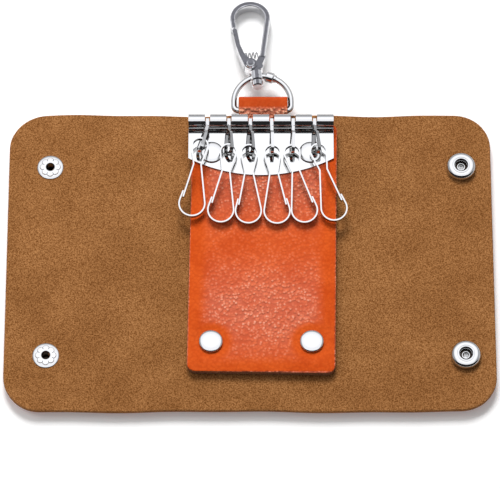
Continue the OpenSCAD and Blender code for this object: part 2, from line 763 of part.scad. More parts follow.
module right_sockets() {
    r = socket_d / 2;
    color(bright) from_origin() snap_pair(snap_right_x, shell_top) difference() {
        union() {
            cylinder(r = r, h = socket_floor);
            cylinder(r1 = r, r2 = r - edge_r, h = socket_h - edge_r);
            translate([0, 0, socket_h - edge_r])
                cylinder(r1 = r - edge_r, r2 = r - 2 * edge_r, h = edge_r);
        }
        translate([0, 0, socket_floor]) cylinder(r = socket_bore_r, h = socket_h);
        translate([0, 0, -cut]) cylinder(r = cap_post_r + run_gap, h = socket_h);
    }
}

module socket_springs() {
    color("silver") from_origin() snap_pair(snap_right_x, shell_top + socket_h / 2)
        rotate_extrude(angle = 330) translate([socket_bore_r - 0.15, 0]) circle(0.1);
}

module right_caps() {
    color(bright) from_origin() snap_pair(snap_right_x, shell_z) {
        mirror([0, 0, 1]) dome(cap_d / 2, foot_h);
        cylinder(r = cap_post_r, h = shell_t + socket_floor + edge_r);
    }
}

centre_panel();
left_spine();
left_flap();
right_spine();
right_flap();
key_tab();
key_bar();
bar_rod();
bar_rivets();
bar_rivet_backs();
tab_rivets();
tab_rivet_backs();
link_1();
link_2();
link_3();
link_4();
link_5();
link_6();
key_hook_1();
key_hook_2();
key_hook_3();
key_hook_4();
key_hook_5();
key_hook_6();
d_ring();
ring_sleeve();
swivel_barrel();
snap_body();
snap_gate();
gate_rivet();
gate_spring();
left_eyelets();
left_studs();
right_sockets();
socket_springs();
right_caps();
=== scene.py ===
"""Tri-fold leather key case, lying open with its suede side up."""
import json

import bmesh
import bpy
import numpy as np
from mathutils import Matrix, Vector


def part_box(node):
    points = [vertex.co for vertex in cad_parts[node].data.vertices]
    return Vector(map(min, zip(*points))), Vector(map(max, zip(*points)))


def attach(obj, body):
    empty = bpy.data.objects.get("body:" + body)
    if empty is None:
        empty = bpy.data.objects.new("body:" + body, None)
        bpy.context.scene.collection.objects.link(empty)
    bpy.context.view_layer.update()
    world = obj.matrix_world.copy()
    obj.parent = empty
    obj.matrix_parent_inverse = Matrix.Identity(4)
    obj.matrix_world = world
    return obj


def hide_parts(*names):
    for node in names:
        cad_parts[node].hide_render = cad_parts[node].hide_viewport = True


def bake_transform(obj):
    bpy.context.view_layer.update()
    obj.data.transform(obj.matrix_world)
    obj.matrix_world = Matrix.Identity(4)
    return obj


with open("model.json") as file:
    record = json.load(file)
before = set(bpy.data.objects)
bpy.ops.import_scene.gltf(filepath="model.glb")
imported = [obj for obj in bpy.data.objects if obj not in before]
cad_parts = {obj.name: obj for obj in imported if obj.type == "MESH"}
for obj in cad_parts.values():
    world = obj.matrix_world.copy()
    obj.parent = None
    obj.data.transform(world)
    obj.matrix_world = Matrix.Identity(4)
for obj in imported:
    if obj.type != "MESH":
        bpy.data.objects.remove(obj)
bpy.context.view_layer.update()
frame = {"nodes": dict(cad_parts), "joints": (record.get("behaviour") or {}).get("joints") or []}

# Camera
# The camera looks down from the tab's free end, 24 degrees off straight above, through a long
# lens that is aimed a little past the middle of the shell.
MM = 0.001
CAMERA_ELEVATION = np.radians(66)
CAMERA_DISTANCE = 1.248
AIM_PAST_MIDDLE = 6.2 * MM
PHOTO_WIDTH = 500
FOCAL_PIXELS = 3655
SENSOR_MM = 36
shell_low, shell_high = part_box("centre_panel")
shell_middle = (shell_low.y + shell_high.y) / 2
look_at = Vector((0, shell_middle + AIM_PAST_MIDDLE, shell_high.z))

camera = bpy.data.objects.new("camera", bpy.data.cameras.new("camera"))
bpy.context.scene.collection.objects.link(camera)
camera.data.sensor_width = SENSOR_MM
camera.data.lens = FOCAL_PIXELS / PHOTO_WIDTH * SENSOR_MM
camera.data.clip_end = 10
back = Vector((0, -np.cos(CAMERA_ELEVATION), np.sin(CAMERA_ELEVATION)))
camera.location = look_at + CAMERA_DISTANCE * back
camera.rotation_euler = back.to_track_quat("Z", "Y").to_euler()
bpy.context.scene.camera = camera
bpy.context.scene.view_settings.view_transform = "Standard"

# Table
# The case lies on white card. The card's own colour is a little raised for the camera, and
# more so past the reach of the lamps, so that it stays white as far as it goes.
TABLE_SIZE = 3.0
CARD_WHITE = (0.92, 0.92, 0.92, 1)
CARD_LIFT = 0.14
FAR_LIFT = 0.6
LAMPS_REACH = 0.7
LAMPS_FADE = 0.175


class Shader:
    """Writes one material or node group: each call adds a node and links its inputs."""

    def __init__(self, tree):
        self.tree = tree
        self.nodes = tree.nodes

    def put(self, socket, value):
        """Links another node's output to a socket, or sets its value."""
        if isinstance(value, bpy.types.NodeSocket):
            self.tree.links.new(value, socket)
        else:
            socket.default_value = value

    def add(self, kind, inputs=(), **settings):
        """A new node of a kind, with its settings made and its inputs filled."""
        node = self.nodes.new(kind)
        for key, value in settings.items():
            setattr(node, key, value)
        for key, value in dict(inputs).items():
            self.put(node.inputs[key], value)
        return node

    def math(self, operation, a, b=0.0, c=0.0):
        """One operation on up to three values; MULTIPLY_ADD gives a times b, plus c."""
        return self.add("ShaderNodeMath", {0: a, 1: b, 2: c}, operation=operation).outputs[0]

    def blend(self, share, a, b, kind="MIX"):
        """A colour that goes from a to b as share goes from 0 to 1."""
        node = self.add("ShaderNodeMix", data_type="RGBA", blend_type=kind)
        self.put(node.inputs[0], share)
        self.put(node.inputs[6], a)
        self.put(node.inputs[7], b)
        return node.outputs[2]

    def step(self, value, low, high):
        """A smooth step, 0 where value is at low and 1 where it is at high."""
        node = self.add("ShaderNodeMapRange", {0: value, 1: low, 2: high},
                        interpolation_type="SMOOTHSTEP")
        return node.outputs[0]

    def length(self, a, b):
        """The distance from the origin to the point (a, b)."""
        squares = self.math("ADD", self.math("POWER", a, 2.0), self.math("MULTIPLY", b, b))
        return self.math("SQRT", squares)

    def xyz(self, place):
        """The three parts of a place or direction, by their letters."""
        return self.add("ShaderNodeSeparateXYZ", {0: place}).outputs

    def own_place(self):
        """The place on the piece, in metres."""
        return self.add("ShaderNodeTexCoord").outputs["Object"]


def new_object(name, mesh):
    """Puts a mesh into the scene under a name."""
    piece = bpy.data.objects.new(name, mesh)
    bpy.context.scene.collection.objects.link(piece)
    return piece


def white_card():
    """The card's material: plain white, raised for the camera's own rays only."""
    card = bpy.data.materials.new("white_card")
    card.use_nodes = True
    shader = Shader(card.node_tree)
    shader.nodes.clear()
    rays = shader.add("ShaderNodeLightPath")
    distance = shader.add("ShaderNodeVectorMath", {0: shader.own_place()}, operation="LENGTH")
    far = shader.step(distance.outputs["Value"], LAMPS_FADE, LAMPS_REACH)
    lift = shader.math("MULTIPLY", rays.outputs["Is Camera Ray"],
                       shader.math("MULTIPLY_ADD", far, FAR_LIFT, CARD_LIFT))
    diffuse = shader.add("ShaderNodeBsdfDiffuse", {"Color": CARD_WHITE})
    glow = shader.add("ShaderNodeEmission", {"Color": (1, 1, 1, 1), "Strength": lift})
    both = shader.add("ShaderNodeAddShader", {0: diffuse.outputs[0], 1: glow.outputs[0]})
    shader.add("ShaderNodeOutputMaterial", {"Surface": both.outputs[0]})
    return card


half = TABLE_SIZE / 2
table_mesh = bpy.data.meshes.new("table")
table_mesh.from_pydata([(-half, -half, 0), (half, -half, 0), (half, half, 0), (-half, half, 0)],
                       [], [(0, 1, 2, 3)])
table_mesh.materials.append(white_card())
table = new_object("table", table_mesh)

# Room and lamps
# The room is white to the camera and an even grey to dull surfaces. Polish sees a soft box
# that reaches from 25 degrees south of straight above to 49 degrees north of it and 34
# degrees to each side, a grey wall past it, and a dark room on the camera's side.
ROOM = 0.3
DARK = 0.03
WALL = 0.55
BOX_EVEN = 1.6
BOX_PEAK = 0.4
BOX_TINT = (0.97, 0.98, 1.03)
BOX_SOUTH = (-0.46, -0.4)
BOX_NORTH = (1.0, 0.7)
BOX_ASIDE = (0.66, 0.46)
PEAK_TILT = 0.37
PEAK_TILT_WIDTH = 0.17
PEAK_ASIDE_WIDTH = 0.25
LAMPS = {
    "broad_lamp": ((-0.1, 0.95, 1.05), 0.6, 21.0),
    "side_lamp": ((-0.9, 0.25, 0.9), 0.5, 3.0),
}


def room_light():
    """The world: tilt is the angle north of straight above, in radians, and aside how far a
    direction leans east or west. The box's brightness has its peak as a bell curve of both."""
    world = bpy.data.worlds.new("room")
    world.use_nodes = True
    shader = Shader(world.node_tree)
    shader.nodes.clear()
    rays = shader.add("ShaderNodeLightPath")
    place = shader.add("ShaderNodeTexCoord")
    way = shader.xyz(place.outputs["Generated"])
    tilt = shader.math("ARCTAN2", way["Y"], way["Z"])
    aside = shader.math("ABSOLUTE", way["X"])
    behind = shader.step(tilt, *BOX_SOUTH)
    above = shader.step(tilt, *BOX_NORTH)
    beside = shader.step(aside, *BOX_ASIDE)
    seen = shader.math("MULTIPLY", shader.math("MULTIPLY", behind, above), beside)
    off_x = shader.math("DIVIDE", aside, PEAK_ASIDE_WIDTH)
    off_y = shader.math("DIVIDE", shader.math("SUBTRACT", tilt, PEAK_TILT), PEAK_TILT_WIDTH)
    squares = shader.math("ADD", shader.math("MULTIPLY", off_x, off_x),
                          shader.math("MULTIPLY", off_y, off_y))
    spot = shader.math("EXPONENT", shader.math("MULTIPLY", squares, -1.0))
    box = shader.math("MULTIPLY_ADD", spot, BOX_PEAK, BOX_EVEN)
    wall = shader.math("MULTIPLY", behind, WALL)
    light = shader.math("MULTIPLY_ADD", seen, shader.math("SUBTRACT", box, WALL), wall)
    bright = shader.add("ShaderNodeVectorMath", {0: BOX_TINT}, operation="SCALE")
    shader.put(bright.inputs["Scale"], shader.math("ADD", light, DARK))
    soft = shader.blend(rays.outputs["Is Glossy Ray"], (ROOM, ROOM, ROOM, 1), bright.outputs[0])
    shown = shader.blend(rays.outputs["Is Camera Ray"], soft, (1, 1, 1, 1))
    sky = shader.add("ShaderNodeBackground", {"Color": shown, "Strength": 1.0})
    shader.add("ShaderNodeOutputWorld", {"Surface": sky.outputs[0]})
    return world


bpy.context.scene.world = room_light()
for name, (place, size, power) in LAMPS.items():
    lamp = bpy.data.lights.new(name, "AREA")
    lamp.size = size
    lamp.energy = power
    holder = bpy.data.objects.new(name, lamp)
    bpy.context.scene.collection.objects.link(holder)
    holder.location = place
    holder.rotation_euler = Vector(place).to_track_quat("Z", "Y").to_euler()
    holder.visible_glossy = False


# Shell
# One hide about 1.6 mm thick, cut to a rounded rectangle, its napped flesh side inwards and
# its orange grain side outwards. It folds twice at each side of the middle panel.
def srgb(red, green, blue):
    """A colour given as 8-bit screen values, made linear."""
    c = np.array([red, green, blue]) / 255
    linear = np.where(c <= 0.04045, c / 12.92, ((c + 0.055) / 1.055) ** 2.4)
    return (*linear.tolist(), 1.0)


SHELL_MID = (shell_low.z + shell_high.z) / 2
SHELL_THICK = shell_high.z - shell_low.z
SHELL_LOW, SHELL_HIGH = shell_low.y, shell_high.y
LEFT_END, RIGHT_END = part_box("left_flap")[0].x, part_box("right_flap")[1].x
CORNER = 12.5 * MM
EDGE_EASE = 0.45 * MM
SEAM_EASE = 1 * MM
HIDE_STEP_X, HIDE_STEP_Y = 1.4 * MM, 1.6 * MM
FOLDS = {j["name"]: j["pos_m"][0] for j in frame["joints"] if "_fold_" in j["name"]}
FOLD_COLUMNS = np.linspace(-4, 4, 17) * MM
UPPER_WAVES = ((0.28 * MM, 95, 0.6), (0.16 * MM, 210, 2.0))
LOWER_WAVES = ((0.22 * MM, 80, 2.2), (0.14 * MM, 190, 0.4))
WAVES_FADE = 6
eyelet_low, eyelet_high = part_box("left_eyelets")
EYELET_X = (eyelet_low.x + eyelet_high.x) / 2
EYELET_R = (eyelet_high.x - eyelet_low.x) / 2
EYELET_Y = [eyelet_low.y + EYELET_R, eyelet_high.y - EYELET_R]
socket_low, socket_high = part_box("right_sockets")
SOCKET_X = (socket_low.x + socket_high.x) / 2
SOCKET_R = (socket_high.x - socket_low.x) / 2
SOCKET_Y = [socket_low.y + SOCKET_R, socket_high.y - SOCKET_R]
HOLE_R = 2.0 * MM
SAME_PLACE = 1e-7
SHARP_EDGE = np.radians(40)

FINE_RANGE, PATCH_RANGE = (0.25, 0.75), (0.3, 0.7)
NAP_SCALE, NAP_PATCH_SCALE = 2300.0, 65.0
NAP_RELIEF = 0.12 * MM
NAP_FROM, NAP_FULL = -0.45, -0.25
NAP_ROUGHNESS, OUTSIDE_ROUGHNESS = 0.95, 0.5
GRAIN_SCALE, GRAIN_PATCH_SCALE = 1000.0, 110.0
GRAIN_WARP_SCALE, GRAIN_WARP = 500.0, 0.0006
GRAIN_RELIEF = 0.3 * MM
CREASE_REACH, CROWN_REACH = (0.2, 0.8), (0.55, 0.1)
SHEEN_BY_PATCH = (0.5, 0.5)
SHADE_BY_SHEEN = (0.5, 0.25)
TOP_BY_LOT = (1.3, -0.1)
HIGHLIGHT_BY_TOP = (0.75, 0.22)
ROUGHNESS_BY_CREASE = (0.2, 0.3)
DEPTH_BY_SHEEN = (-0.8, -0.2)
OUTSIDE_SHEEN = 0.35
SUEDE_DARK = srgb(102, 54, 4)
SUEDE_LIGHT = srgb(192, 136, 84)
SUEDE_SHADE = srgb(233, 228, 219)
SUEDE_TINT = srgb(255, 255, 255)
GRAIN_DEEP = srgb(204, 79, 26)
GRAIN_BRIGHT = srgb(217, 91, 34)
# The last two colours are painted light: shade in the creases, and a pale highlight on pebble
# tops.
GRAIN_CREASE_SHADE = srgb(168, 48, 14)
GRAIN_PAINTED_HIGHLIGHT = srgb(238, 168, 142)


def closed_loops(name, places):
    """A mesh from an array (sections, points round a section, 3): each section is a closed
    loop, neighbours are joined by quads, and the first and last section are capped."""
    count, around = places.shape[:2]
    index = np.arange(count * around).reshape(count, around)
    ahead = np.roll(index, -1, axis=1)
    quads = np.stack([index[:-1], index[1:], ahead[1:], ahead[:-1]], axis=-1).reshape(-1, 4)
    mesh = bpy.data.meshes.new(name)
    caps = [index[0].tolist(), index[-1][::-1].tolist()]
    mesh.from_pydata(places.reshape(-1, 3).tolist(), [], quads.tolist() + caps)
    return mesh


def over_and_under(upper, lower):
    """Sections that run over the upper face and back under the lower one."""
    return np.concatenate([upper, lower[:, ::-1][:, 1:-1]], axis=1)


def finish_mesh(mesh):
    """Merges doubles, points the faces outwards and shades them smooth."""
    work = bmesh.new()
    work.from_mesh(mesh)
    bmesh.ops.remove_doubles(work, verts=work.verts, dist=SAME_PLACE)
    bmesh.ops.dissolve_degenerate(work, edges=work.edges, dist=SAME_PLACE)
    bmesh.ops.recalc_face_normals(work, faces=work.faces)
    work.to_mesh(mesh)
    work.free()
    mesh.polygons.foreach_set("use_smooth", np.ones(len(mesh.polygons), bool))
    mesh.set_sharp_from_angle(angle=SHARP_EDGE)
    mesh.update()


def rounded_half_height(x, left, right, half, radius):
    """Half the height of a rounded rectangle at each x: half, less a quarter circle near
    its left and right ends."""
    height = np.full_like(x, half)
    for end in (left, right):
        near = np.clip(radius - np.abs(x - end), 0, radius)
        height = height - radius + np.sqrt(radius**2 - near**2)
    return height


def edge_distance(x, y, left, right, low, high, radius):
    """Distance inwards from the outline of a rounded rectangle: the corners' radius, less
    the distance from a rectangle that is smaller by that radius all round."""
    cx, cy = (left + right) / 2, (low + high) / 2
    qx = np.abs(x - cx) - (right - left) / 2 + radius
    qy = np.abs(y - cy) - (high - low) / 2 + radius
    outside = np.hypot(np.maximum(qx, 0), np.maximum(qy, 0))
    return radius - outside - np.minimum(np.maximum(qx, qy), 0)


def edge_steps(width, ease, step):
    """Places from 0 to width, about step apart, and closer together near both ends, where
    the edge is rounded within ease of the end."""
    near = ease * np.array([0, 0.03, 0.12, 0.3, 0.6, 1.0, 1.8])
    inner = np.linspace(2.6 * ease, width - 2.6 * ease, max(3, int(width / step)))
    return np.concatenate([near, inner, width - near[::-1]])


def edge_rise(depth, ease):
    """Share of its full thickness that a sheet has at a depth in from its cut edge: a
    superellipse of the third power, which is full from ease inwards."""
    return (1 - (1 - np.clip(depth / ease, 0, 1)) ** 3) ** (1 / 3)


def drift(x, waves):
    """How far a hand-cut edge strays from straight: slow sine waves along x, each with its
    height, its rate in radians a metre and its phase."""
    return sum(height * np.sin(x * rate + phase) for height, rate, phase in waves)


def punch_holes(mesh):
    """Opens a hole through the hide under each snap, and lines it with a wall."""
    work = bmesh.new()
    work.from_mesh(mesh)
    bmesh.ops.remove_doubles(work, verts=work.verts, dist=SAME_PLACE)
    snaps = [(EYELET_X, y) for y in EYELET_Y] + [(SOCKET_X, y) for y in SOCKET_Y]
    for hole_x, hole_y in snaps:
        hole = Vector((hole_x, hole_y, SHELL_MID))
        inside = [f for f in work.faces if (f.calc_center_median() - hole).length < HOLE_R
                  and len(f.verts) == 4]
        if inside:
            bmesh.ops.delete(work, geom=inside, context="FACES")
            rim = [e for e in work.edges if e.is_boundary
                   and (e.verts[0].co - hole).length < 2 * HOLE_R]
            bmesh.ops.bridge_loops(work, edges=rim)
    work.to_mesh(mesh)
    work.free()


def hide_strip(name, start, stop):
    """One strip of the hide, from x = start to x = stop: a grid of columns, each a loop over
    the upper face and back under the lower one. Both faces stand off the middle plane by
    half the thickness times edge_rise of the distance to the cut edge, so they meet in a
    softly rounded edge. It keeps each point's place at rest, for its material."""
    ease = EDGE_EASE if (start == LEFT_END or stop == RIGHT_END) else SEAM_EASE
    along = start + edge_steps(stop - start, ease, HIDE_STEP_X)
    for fold in FOLDS.values():
        if start < fold < stop:
            along = np.concatenate([along, fold + FOLD_COLUMNS])
    along = np.unique(np.round(along, 7))
    half = (SHELL_HIGH - SHELL_LOW) / 2
    half_y = rounded_half_height(along, LEFT_END, RIGHT_END, half, CORNER)
    share = edge_steps(2 * half, EDGE_EASE, HIDE_STEP_Y) / half - 1
    x, s = np.meshgrid(along, share, indexing="ij")
    y = shell_middle + s * half_y[:, None]
    depth = edge_distance(x, y, LEFT_END, RIGHT_END, SHELL_LOW, SHELL_HIGH, CORNER)
    thick = SHELL_THICK / 2 * edge_rise(depth, EDGE_EASE)
    y = y + np.where(s > 0, drift(x, UPPER_WAVES), drift(x, LOWER_WAVES)) * np.abs(s) ** WAVES_FADE
    upper = np.stack([x, y, SHELL_MID + thick], axis=-1)
    lower = np.stack([x, y, SHELL_MID - thick], axis=-1)
    mesh = closed_loops(name, over_and_under(upper, lower))
    punch_holes(mesh)
    finish_mesh(mesh)
    rest = mesh.attributes.new("rest_place", "FLOAT_VECTOR", "POINT")
    places = np.zeros(len(mesh.vertices) * 3, np.float32)
    mesh.vertices.foreach_get("co", places)
    rest.data.foreach_set("vector", places)
    return new_object(name, mesh)


def new_material(name):
    """A material with a Principled shader; returns it, its writer and that shader."""
    material = bpy.data.materials.new(name)
    material.use_nodes = True
    shader = Shader(material.node_tree)
    return material, shader, shader.nodes["Principled BSDF"]


def new_group(name, inputs, outputs):
    """A node group with sockets of the given names and kinds; returns it, its writer and
    what comes in."""
    group = bpy.data.node_groups.new(name, "ShaderNodeTree")
    for side, sockets in (("INPUT", inputs), ("OUTPUT", outputs)):
        for socket, kind in sockets.items():
            group.interface.new_socket(socket, in_out=side, socket_type="NodeSocket" + kind)
    shader = Shader(group)
    return group, shader, shader.add("NodeGroupInput").outputs


def speckle_group():
    """Node group: speckle of a napped surface. Fine is the close nap, 0 to 1, and Broad the
    slow change from patch to patch, 0 to 1."""
    group, shader, source = new_group(
        "nap_speckle", {"Place": "Vector", "Fine scale": "Float", "Broad scale": "Float"},
        {"Fine": "Float", "Broad": "Float"})
    fine = shader.add("ShaderNodeTexNoise", {
        "Vector": source["Place"], "Scale": source["Fine scale"], "Detail": 3.0,
        "Roughness": 0.65})
    broad = shader.add("ShaderNodeTexNoise", {
        "Vector": source["Place"], "Scale": source["Broad scale"], "Detail": 3.0,
        "Roughness": 0.5})
    shader.add("NodeGroupOutput", {
        "Fine": shader.step(fine.outputs[0], *FINE_RANGE),
        "Broad": shader.step(broad.outputs[0], *PATCH_RANGE)})
    return group


def pebble_group():
    """Node group: grained leather with pebbles of about 1 mm between creases painted darker as
    shade, raised and painted pale on their tops as a painted highlight where Sheen says so. A
    slow noise makes patches of Deep and Bright, and each pebble's lot is how much of its top
    takes the painted highlight. A pair such as SHADE_BY_SHEEN is the rise with the second
    thing named, and the value without it."""
    group, shader, source = new_group(
        "pebble_grain",
        {"Place": "Vector", "Sheen": "Float", "Deep": "Color", "Bright": "Color",
         "Crease": "Color", "Rubbed": "Color"},
        {"Color": "Color", "Roughness": "Float", "Height": "Float"})
    warp = shader.add("ShaderNodeTexNoise", {
        "Vector": source["Place"], "Scale": GRAIN_WARP_SCALE, "Detail": 2.0})
    bent = shader.add("ShaderNodeMix", data_type="VECTOR")
    shader.put(bent.inputs[0], GRAIN_WARP)
    shader.put(bent.inputs[4], source["Place"])
    shader.put(bent.inputs[5], warp.outputs["Color"])
    pebbles = shader.add("ShaderNodeTexVoronoi", {
        "Vector": bent.outputs[1], "Scale": GRAIN_SCALE, "Smoothness": 0.6},
        feature="SMOOTH_F1")
    crowns = shader.add("ShaderNodeTexVoronoi", {
        "Vector": bent.outputs[1], "Scale": GRAIN_SCALE})
    creases = shader.step(pebbles.outputs["Distance"], *CREASE_REACH)
    wide = shader.add("ShaderNodeTexNoise", {
        "Vector": source["Place"], "Scale": GRAIN_PATCH_SCALE, "Detail": 3.0})
    patch = shader.step(wide.outputs[0], *PATCH_RANGE)
    sheen = shader.math("MULTIPLY", source["Sheen"],
                        shader.math("MULTIPLY_ADD", patch, *SHEEN_BY_PATCH))
    tint = shader.blend(patch, source["Deep"], source["Bright"])
    # Painted shade: creases turn darker, more so where the sheen is.
    shade = shader.math("MULTIPLY", creases,
                        shader.math("MULTIPLY_ADD", sheen, *SHADE_BY_SHEEN))
    crease_shaded = shader.blend(shade, tint, source["Crease"])
    lot = shader.add("ShaderNodeSeparateColor", {0: crowns.outputs["Color"]}).outputs[0]
    top = shader.math("MULTIPLY", shader.step(crowns.outputs["Distance"], *CROWN_REACH),
                      shader.math("MULTIPLY_ADD", lot, *TOP_BY_LOT))
    # Painted highlight: pebble tops turn pale where the sheen is.
    highlight_share = shader.math("MULTIPLY", shader.math("MULTIPLY_ADD", top, *HIGHLIGHT_BY_TOP), sheen)
    shader.add("NodeGroupOutput", {
        "Color": shader.blend(highlight_share, crease_shaded, source["Rubbed"]),
        "Roughness": shader.math("MULTIPLY_ADD", creases, *ROUGHNESS_BY_CREASE),
        "Height": shader.math("MULTIPLY", creases,
                              shader.math("MULTIPLY_ADD", sheen, *DEPTH_BY_SHEEN))})
    return group


nap_speckle = speckle_group()
pebble_grain = pebble_group()


def speckled(shader, place, fine, broad):
    """Places the nap's speckle in a material, at its own two scales."""
    inputs = {"Place": place, "Fine scale": fine, "Broad scale": broad}
    return shader.add("ShaderNodeGroup", inputs, node_tree=nap_speckle).outputs


def grained(shader, place, sheen, deep, bright, highlight_colour):
    """Places the pebbled grain in a material, with its own sheen and colours."""
    inputs = {"Place": place, "Sheen": sheen, "Deep": deep, "Bright": bright,
              "Crease": GRAIN_CREASE_SHADE, "Rubbed": highlight_colour}
    return shader.add("ShaderNodeGroup", inputs, node_tree=pebble_grain).outputs


def relief_normal(shader, height, distance, strength=1.0):
    """A normal from a height map, whose value 1 stands distance metres high."""
    node = shader.add("ShaderNodeBump", {
        "Height": height, "Distance": distance, "Strength": strength})
    return node.outputs[0]


def shell_suede():
    """The hide: orange grain on its outer face, and a napped tan from a little above that
    face up to the inner one, both fixed to the place at rest, so that they don't slide as it
    folds."""
    material, shader, surface = new_material("shell_suede")
    place = shader.add("ShaderNodeAttribute", attribute_name="rest_place").outputs["Vector"]
    # The outer grain takes a faint painted highlight on its pebble tops.
    grain = grained(shader, place, OUTSIDE_SHEEN, GRAIN_DEEP, GRAIN_BRIGHT, GRAIN_PAINTED_HIGHLIGHT)
    nap = speckled(shader, place, NAP_SCALE, NAP_PATCH_SCALE)
    napped = shader.step(shader.xyz(place)["Z"], SHELL_MID + NAP_FROM * SHELL_THICK,
                         SHELL_MID + NAP_FULL * SHELL_THICK)
    fibres = shader.blend(nap["Fine"], SUEDE_DARK, SUEDE_LIGHT)
    patches = shader.blend(nap["Broad"], SUEDE_SHADE, SUEDE_TINT)
    flesh = shader.blend(1.0, fibres, patches, kind="MULTIPLY")
    shader.put(surface.inputs["Base Color"], shader.blend(napped, grain["Color"], flesh))
    shader.put(surface.inputs["Roughness"],
               shader.math("MULTIPLY_ADD", napped, NAP_ROUGHNESS - OUTSIDE_ROUGHNESS,
                           OUTSIDE_ROUGHNESS))
    surface.inputs["Specular IOR Level"].default_value = 0.08
    surface.inputs["Sheen Weight"].default_value = 0.06
    surface.inputs["Sheen Roughness"].default_value = 0.6
    grain_share = shader.math("SUBTRACT", 1.0, napped)
    grain_height = shader.math("MULTIPLY", shader.math("MULTIPLY", grain_share, grain["Height"]),
                               GRAIN_RELIEF)
    height = shader.math("MULTIPLY_ADD", shader.math("MULTIPLY", nap["Fine"], napped),
                         NAP_RELIEF, grain_height)
    shader.put(surface.inputs["Normal"], relief_normal(shader, height, 1.0, 0.8))
    return material


suede = shell_suede()
MIDDLE = (FOLDS["left_fold_inner"] + FOLDS["right_fold_inner"]) / 2
LEFT_SPINE = (FOLDS["left_fold_inner"] + FOLDS["left_fold_outer"]) / 2
RIGHT_SPINE = (FOLDS["right_fold_inner"] + FOLDS["right_fold_outer"]) / 2
strips = [
    ("shell_left_flap", LEFT_END, LEFT_SPINE, "left_fold_outer", "left_flap_body",
     "left_spine_body", ["left_flap"]),
    ("shell_left_middle", LEFT_SPINE, MIDDLE, "left_fold_inner", "left_spine_body", "back",
     ["left_spine", "centre_panel"]),
    ("shell_right_middle", MIDDLE, RIGHT_SPINE, "right_fold_inner", "back",
     "right_spine_body", ["right_spine"]),
    ("shell_right_flap", RIGHT_SPINE, RIGHT_END, "right_fold_outer", "right_spine_body",
     "right_flap_body", ["right_flap"]),
]
for name, start, stop, fold, body_a, body_b, nodes in strips:
    strip = hide_strip(name, start, stop)
    strip.data.materials.append(suede)
    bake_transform(strip)
    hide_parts(*nodes)

# Key tab
# One long strip of orange grained leather, folded in two with its suede sides together and
# its edges cut raw. Four rivets hold it to the shell, and the two near its foot dimple it.
bar_low, bar_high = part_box("key_bar")
shell_top = shell_high.z
LAYER = 1.5 * MM
TAB_TOP = shell_top + 2 * LAYER
TAB_HALF = (bar_high.x - bar_low.x) / 2
TAB_BOTTOM, TAB_SHOULDER = SHELL_LOW + 13 * MM, SHELL_HIGH - 3.9 * MM
TAB_X = (bar_low.x + bar_high.x) / 2 + 0.6 * MM
TAB_Y = (TAB_BOTTOM + TAB_SHOULDER) / 2
TAB_SKEW = np.radians(0.9)
TAB_CORNER = 3 * MM
TAB_EASE = 0.5 * MM
TAB_STEP = 0.9 * MM
TAB_CROWN, CROWN_WIDTH = 0.35 * MM, 7 * MM
DIMPLE, DIMPLE_WIDTH = 0.35 * MM, 2.4 * MM
rivet_low, rivet_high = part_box("tab_rivets")
RIVET_R = 4 * MM
RIVET_X = [rivet_low.x + RIVET_R, rivet_high.x - RIVET_R]
RIVET_Y = (rivet_low.y + rivet_high.y) / 2

SMOOTH_SIDE = (3 * MM, 8.5 * MM)
SMOOTH_FOOT = (2 * MM, 7 * MM)
SMOOTH_BY_RIVET = (1.5 * MM, 5 * MM)
EDGE_HIGHLIGHT = (0.5 * MM, 0.1 * MM)
BAND_PERIOD, BAND_PHASE = 50 * MM, 3.04
BAND_SWING, BAND_MIDDLE = 0.42, 0.58
SHINE, DULL = 0.32, 0.04
EDGE_DARK = srgb(78, 44, 24)
EDGE_LIGHT = srgb(170, 118, 78)
EDGE_SCALE, EDGE_PATCH_SCALE = 2500.0, 300.0
EDGE_RELIEF = 0.2 * MM
SIDEWAYS_FACE = 0.55


def tab_layer(name, floor, top, crown, dimple):
    """One layer of the tab: a closed sheet with superelliptic edges, turned by the tab's
    skew. The upper face falls by crown towards the edges, as a parabola over the last 7 mm,
    and by dimple round each rivet, as a bell curve."""
    along = edge_steps(2 * TAB_HALF, TAB_EASE, TAB_STEP) - TAB_HALF
    half = (TAB_SHOULDER - TAB_BOTTOM) / 2
    half_y = rounded_half_height(along, -TAB_HALF, TAB_HALF, half, TAB_CORNER)
    share = edge_steps(2 * half, TAB_EASE, TAB_STEP) / half - 1
    across, s = np.meshgrid(along, share, indexing="ij")
    up = s * half_y[:, None]
    depth = edge_distance(across, up, -TAB_HALF, TAB_HALF, -half, half, TAB_CORNER)
    rise = edge_rise(depth, TAB_EASE)
    x = TAB_X + across * np.cos(TAB_SKEW) + up * np.sin(TAB_SKEW)
    y = TAB_Y - across * np.sin(TAB_SKEW) + up * np.cos(TAB_SKEW)
    fall = crown * np.clip(1 - depth / CROWN_WIDTH, 0, 1) ** 2
    for rivet_x in RIVET_X:
        away = np.clip(np.hypot(x - rivet_x, y - RIVET_Y) - RIVET_R, 0, None)
        fall = fall + dimple * np.exp(-(away / DIMPLE_WIDTH) ** 2)
    middle_z = (floor + top) / 2
    upper = np.stack([x, y, middle_z + (top - middle_z - fall) * rise], axis=-1)
    lower = np.stack([x, y, middle_z + (floor - middle_z) * rise], axis=-1)
    mesh = closed_loops(name, over_and_under(upper, lower))
    finish_mesh(mesh)
    return new_object(name, mesh)


